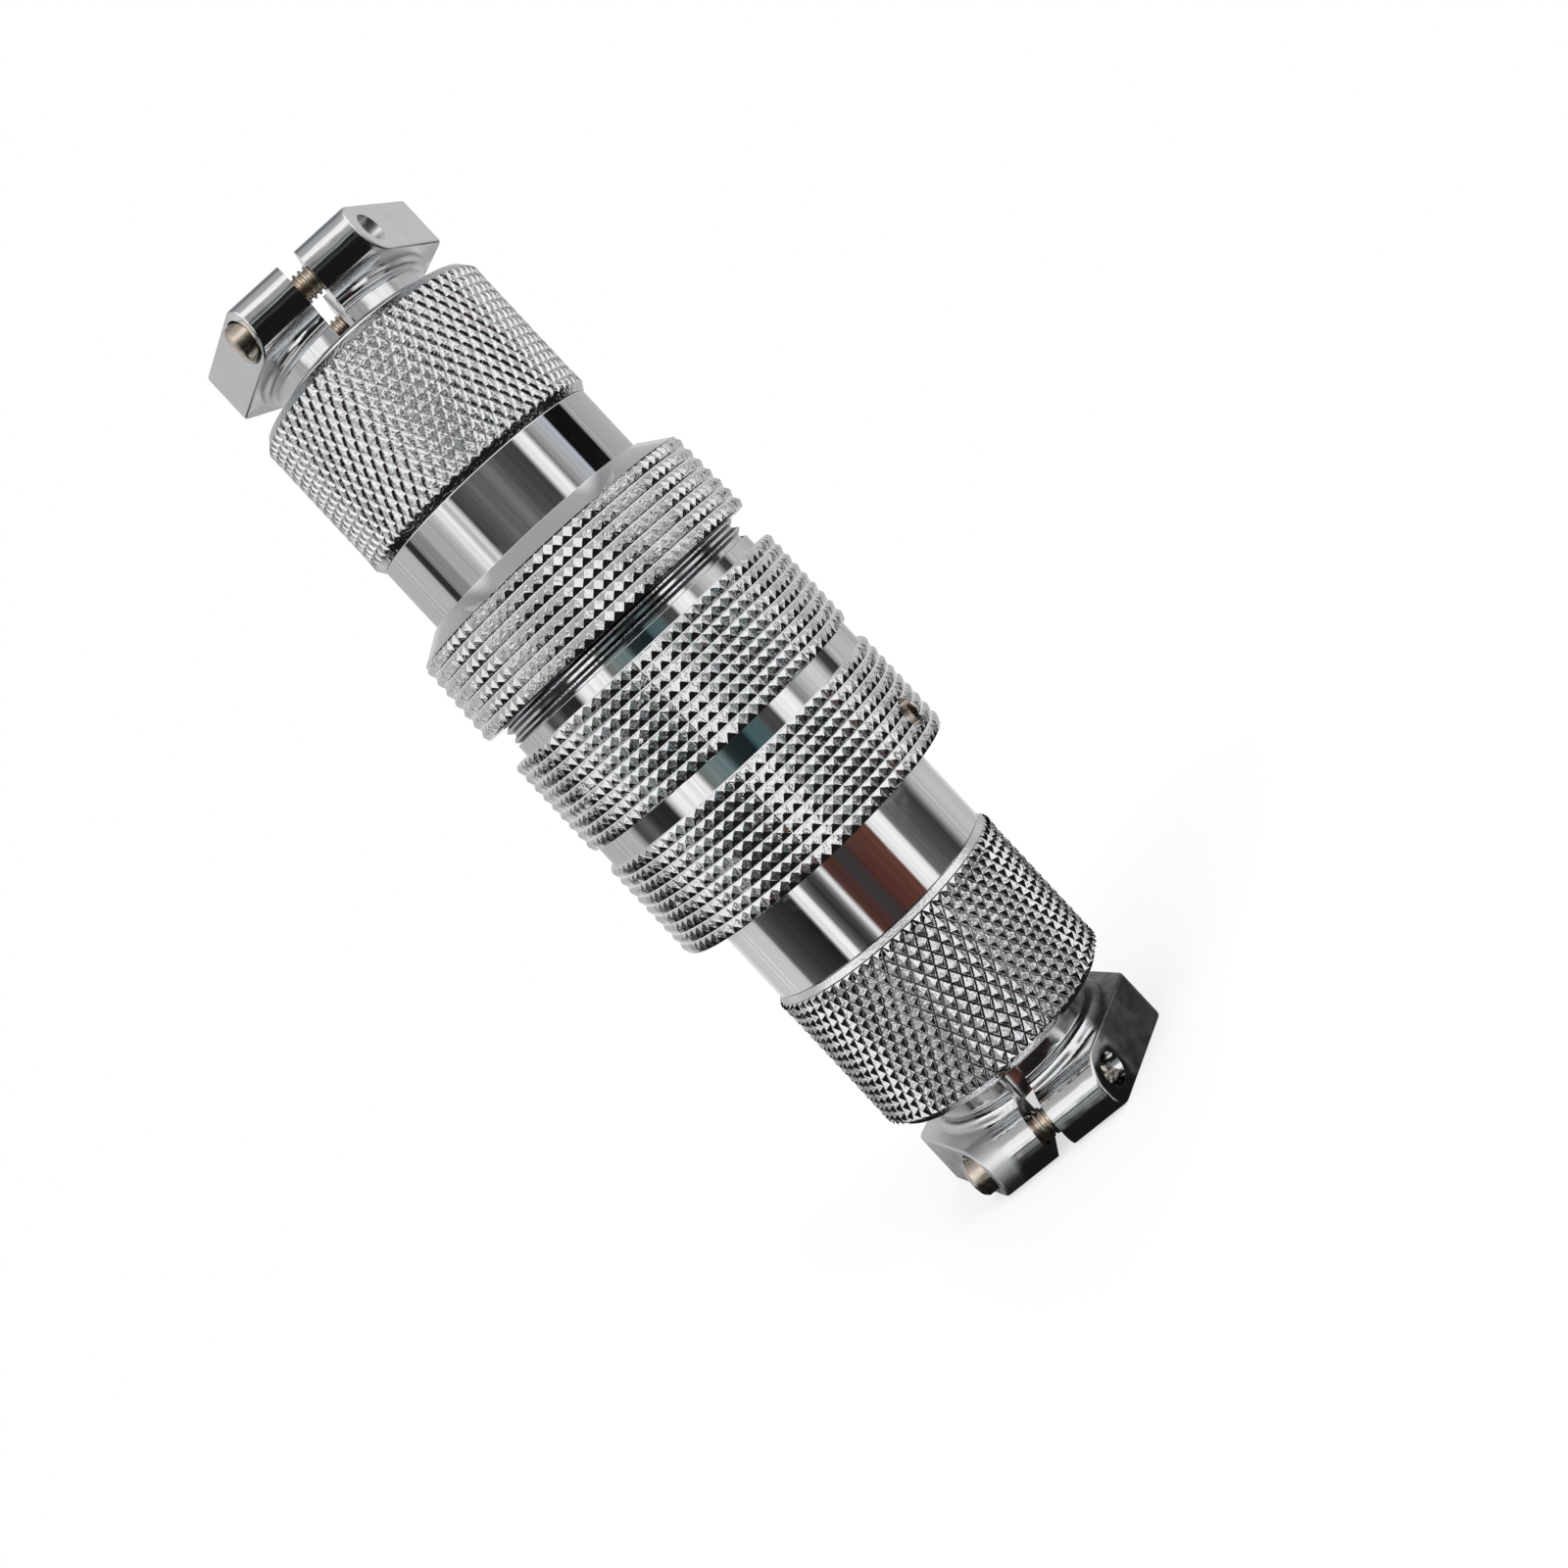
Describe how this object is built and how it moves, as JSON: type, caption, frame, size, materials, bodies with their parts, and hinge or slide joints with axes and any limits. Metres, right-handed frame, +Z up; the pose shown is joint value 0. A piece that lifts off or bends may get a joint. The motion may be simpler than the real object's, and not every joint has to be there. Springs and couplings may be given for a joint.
{
  "type": "aviation plug connector",
  "caption": "Mated inline circular connector pair with knurled coupling nut, docking ring, knurled back caps and split cable clamps.",
  "frame": {"origin": "middle of the foot, where the connector stands on the receptacle's cable clamp", "axes": "+Z up the common axis from the receptacle to the plug; -Y is the side seen in the picture; the clamp slots lie near the YZ plane"},
  "size_m": [0.0226, 0.0226, 0.0712],
  "materials": {
    "bright_plating": "polished plating",
    "knurled_plating": "bright plating over knurls",
    "screw_plating": "warm zinc plating",
    "spring_steel": "plain spring wire",
    "insulator": "moulded thermoset",
    "contact_plating": "plated brass contacts"
  },
  "bodies": {
    "receptacle": {"receptacle_barrel": "bright_plating", "receptacle_shell": "bright_plating", "docking_ring": "knurled_plating", "ring_set_screw": "screw_plating", "receptacle_back_cap": "knurled_plating", "pin_insulator": "insulator", "pin_retaining_ring": "spring_steel", "contact_pin_1": "contact_plating", "contact_pin_2": "contact_plating", "contact_pin_3": "contact_plating", "contact_pin_4": "contact_plating"},
    "plug": {"plug_barrel": "bright_plating", "plug_back_cap": "knurled_plating", "nut_snap_ring": "spring_steel", "socket_insulator": "insulator", "socket_retaining_ring": "spring_steel", "contact_socket_1": "contact_plating", "contact_socket_2": "contact_plating", "contact_socket_3": "contact_plating", "contact_socket_4": "contact_plating"},
    "nut": {"coupling_nut": "knurled_plating"},
    "plug_clamp": {"plug_cable_clamp": "bright_plating", "plug_clamp_screw_1": "screw_plating", "plug_clamp_screw_2": "screw_plating"},
    "receptacle_clamp": {"receptacle_cable_clamp": "bright_plating", "receptacle_clamp_screw_1": "screw_plating", "receptacle_clamp_screw_2": "screw_plating"}
  },
  "joints": [
    {"name": "plug_lift", "type": "slide", "parent": "receptacle", "child": "plug", "axis": [0, 0, 1], "range_m": [0, 0.00375]},
    {"name": "nut_turn", "type": "hinge", "parent": "plug", "child": "nut", "pos_m": [0, 0, 0.0417], "axis": [0, 0, 1], "range_deg": [0, 1800]},
    {"name": "plug_clamp_swivel", "type": "hinge", "parent": "plug", "child": "plug_clamp", "pos_m": [0, 0, 0.0652], "axis": [0, 0, 1], "continuous": true},
    {"name": "receptacle_clamp_swivel", "type": "hinge", "parent": "receptacle", "child": "receptacle_clamp", "pos_m": [0, 0, 0.006], "axis": [0, 0, 1], "continuous": true}
  ],
  "couplings": [
    {"joint": "nut_turn", "follows": "plug_lift", "rad_per_m": 8377.6}
  ]
}
